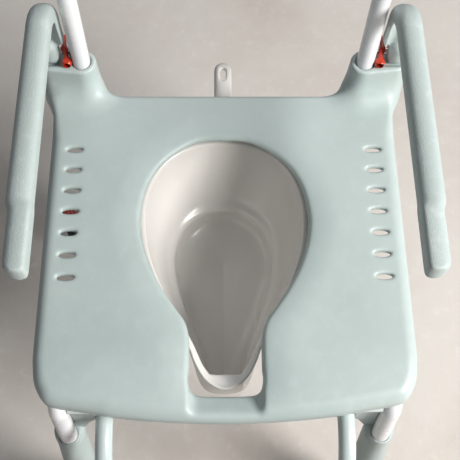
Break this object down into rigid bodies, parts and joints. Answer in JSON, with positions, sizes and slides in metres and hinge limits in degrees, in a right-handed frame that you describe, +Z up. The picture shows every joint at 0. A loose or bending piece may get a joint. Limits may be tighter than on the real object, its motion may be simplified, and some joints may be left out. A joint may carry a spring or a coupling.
{
  "type": "shower commode chair",
  "caption": "Wheeled shower and toilet chair: keyhole seat over a slide-in pan, swing-up arm supports, slide-out foot support with flip-up plate, braked castors and a push bar.",
  "frame": {"origin": "on the floor under the centre of the chair's bounding box", "axes": "+Z up, +Y to the back of the chair, where the push bar is, +X to the sitter's left; node names say left and right as seen from the front"},
  "size_m": [0.6049, 0.8928, 0.93],
  "materials": {
    "green_plastic": "fine grained, satin",
    "white_paint": "gloss powder coat",
    "pan_plastic": "polished",
    "red_plastic": "polished",
    "grey_plastic": "satin",
    "tyre": "smooth rubber",
    "steel": "brushed"
  },
  "bodies": {
    "frame": {"upright_left": "white_paint", "upright_right": "white_paint", "push_bar": "white_paint", "leg_left": "white_paint", "leg_right": "white_paint", "rail_left": "white_paint", "rail_right": "white_paint", "front_cross_tube": "green_plastic", "rear_cross_tube": "white_paint", "socket_front_left": "green_plastic", "socket_front_right": "green_plastic", "socket_rear_left": "green_plastic", "socket_rear_right": "green_plastic", "front_bracket_left": "green_plastic", "front_bracket_right": "green_plastic", "rear_guide_left": "green_plastic", "rear_guide_right": "green_plastic", "seat_shell": "green_plastic", "seat_clips": "green_plastic", "pan_rail_left": "green_plastic", "pan_rail_right": "green_plastic", "arm_lug_left": "steel", "arm_lug_right": "steel", "arm_pin_left": "steel", "arm_pin_right": "steel", "back_panel": "green_plastic", "back_clips": "green_plastic"},
    "commode_pan": {"pan_rim": "pan_plastic", "pan_wall": "pan_plastic", "pan_bowl": "pan_plastic", "pan_handle": "pan_plastic"},
    "arm_support_left": {"arm_left": "green_plastic"},
    "arm_support_right": {"arm_right": "green_plastic"},
    "lock_left": {"arm_lock_left": "red_plastic"},
    "lock_right": {"arm_lock_right": "red_plastic"},
    "foot_support": {"foot_tube_left": "green_plastic", "foot_tube_right": "green_plastic", "foot_hinge_bar": "steel", "foot_plugs": "green_plastic"},
    "foot_plate": {"footplate": "green_plastic"},
    "castor_front_left": {"fork_front_left": "grey_plastic", "axle_front_left": "steel"},
    "wheel_front_left": {"hub_front_left": "grey_plastic", "tyre_front_left": "tyre"},
    "brake_front_left": {"pedal_front_left": "red_plastic"},
    "castor_front_right": {"fork_front_right": "grey_plastic", "axle_front_right": "steel"},
    "wheel_front_right": {"hub_front_right": "grey_plastic", "tyre_front_right": "tyre"},
    "brake_front_right": {"pedal_front_right": "red_plastic"},
    "castor_rear_left": {"fork_rear_left": "grey_plastic", "axle_rear_left": "steel"},
    "wheel_rear_left": {"hub_rear_left": "grey_plastic", "tyre_rear_left": "tyre"},
    "brake_rear_left": {"pedal_rear_left": "red_plastic"},
    "castor_rear_right": {"fork_rear_right": "grey_plastic", "axle_rear_right": "steel"},
    "wheel_rear_right": {"hub_rear_right": "grey_plastic", "tyre_rear_right": "tyre"},
    "brake_rear_right": {"pedal_rear_right": "red_plastic"}
  },
  "joints": [
    {"name": "pan_slide", "type": "slide", "parent": "frame", "child": "commode_pan", "axis": [0, 1, 0], "range_m": [0, 0.42]},
    {"name": "arm_swing_left", "type": "hinge", "parent": "frame", "child": "arm_support_left", "pos_m": [0, 0.349, 0.555], "axis": [-1, 0, 0], "range_deg": [0, 90]},
    {"name": "lock_press_left", "type": "hinge", "parent": "frame", "child": "lock_left", "pos_m": [0, 0.349, 0.555], "axis": [-1, 0, 0], "range_deg": [0, 12], "stiffness_Nm_per_rad": 0.4},
    {"name": "arm_swing_right", "type": "hinge", "parent": "frame", "child": "arm_support_right", "pos_m": [0, 0.349, 0.555], "axis": [-1, 0, 0], "range_deg": [0, 90]},
    {"name": "lock_press_right", "type": "hinge", "parent": "frame", "child": "lock_right", "pos_m": [0, 0.349, 0.555], "axis": [-1, 0, 0], "range_deg": [0, 12], "stiffness_Nm_per_rad": 0.4},
    {"name": "foot_support_slide", "type": "slide", "parent": "frame", "child": "foot_support", "axis": [0, -1, 0], "range_m": [0, 0.12]},
    {"name": "footplate_flip", "type": "hinge", "parent": "foot_support", "child": "foot_plate", "pos_m": [0, -0.32327, 0.1367], "axis": [-1, 0, 0], "range_deg": [0, 105]},
    {"name": "swivel_front_left", "type": "hinge", "parent": "frame", "child": "castor_front_left", "pos_m": [-0.216, -0.16912, 0.165], "axis": [0, 0, 1], "continuous": true},
    {"name": "roll_front_left", "type": "hinge", "parent": "castor_front_left", "child": "wheel_front_left", "pos_m": [-0.22432, -0.20825, 0.0625], "axis": [-0.9781, 0.2079, 0], "continuous": true},
    {"name": "brake_front_left", "type": "hinge", "parent": "castor_front_left", "child": "brake_front_left", "pos_m": [-0.22224, -0.19847, 0.139], "axis": [0.9781, -0.2079, 0], "range_deg": [0, 8]},
    {"name": "swivel_front_right", "type": "hinge", "parent": "frame", "child": "castor_front_right", "pos_m": [0.216, -0.16912, 0.165], "axis": [0, 0, 1], "continuous": true},
    {"name": "roll_front_right", "type": "hinge", "parent": "castor_front_right", "child": "wheel_front_right", "pos_m": [0.24573, -0.19589, 0.0625], "axis": [-0.6691, -0.7431, 0], "continuous": true},
    {"name": "brake_front_right", "type": "hinge", "parent": "castor_front_right", "child": "brake_front_right", "pos_m": [0.23829, -0.1892, 0.139], "axis": [0.6691, 0.7431, 0], "range_deg": [0, 8]},
    {"name": "swivel_rear_left", "type": "hinge", "parent": "frame", "child": "castor_rear_left", "pos_m": [-0.201, 0.338, 0.165], "axis": [0, 0, 1], "continuous": true},
    {"name": "roll_rear_left", "type": "hinge", "parent": "castor_rear_left", "child": "wheel_rear_left", "pos_m": [-0.23632, 0.31922, 0.0625], "axis": [-0.4695, 0.8829, 0], "continuous": true},
    {"name": "brake_rear_left", "type": "hinge", "parent": "castor_rear_left", "child": "brake_rear_left", "pos_m": [-0.22749, 0.32392, 0.139], "axis": [0.4695, -0.8829, 0], "range_deg": [0, 8]},
    {"name": "swivel_rear_right", "type": "hinge", "parent": "frame", "child": "castor_rear_right", "pos_m": [0.201, 0.338, 0.165], "axis": [0, 0, 1], "continuous": true},
    {"name": "roll_rear_right", "type": "hinge", "parent": "castor_rear_right", "child": "wheel_rear_right", "pos_m": [0.20795, 0.37739, 0.0625], "axis": [0.9848, -0.1736, 0], "continuous": true},
    {"name": "brake_rear_right", "type": "hinge", "parent": "castor_rear_right", "child": "brake_rear_right", "pos_m": [0.20621, 0.36754, 0.139], "axis": [-0.9848, 0.1736, 0], "range_deg": [0, 8]}
  ]
}
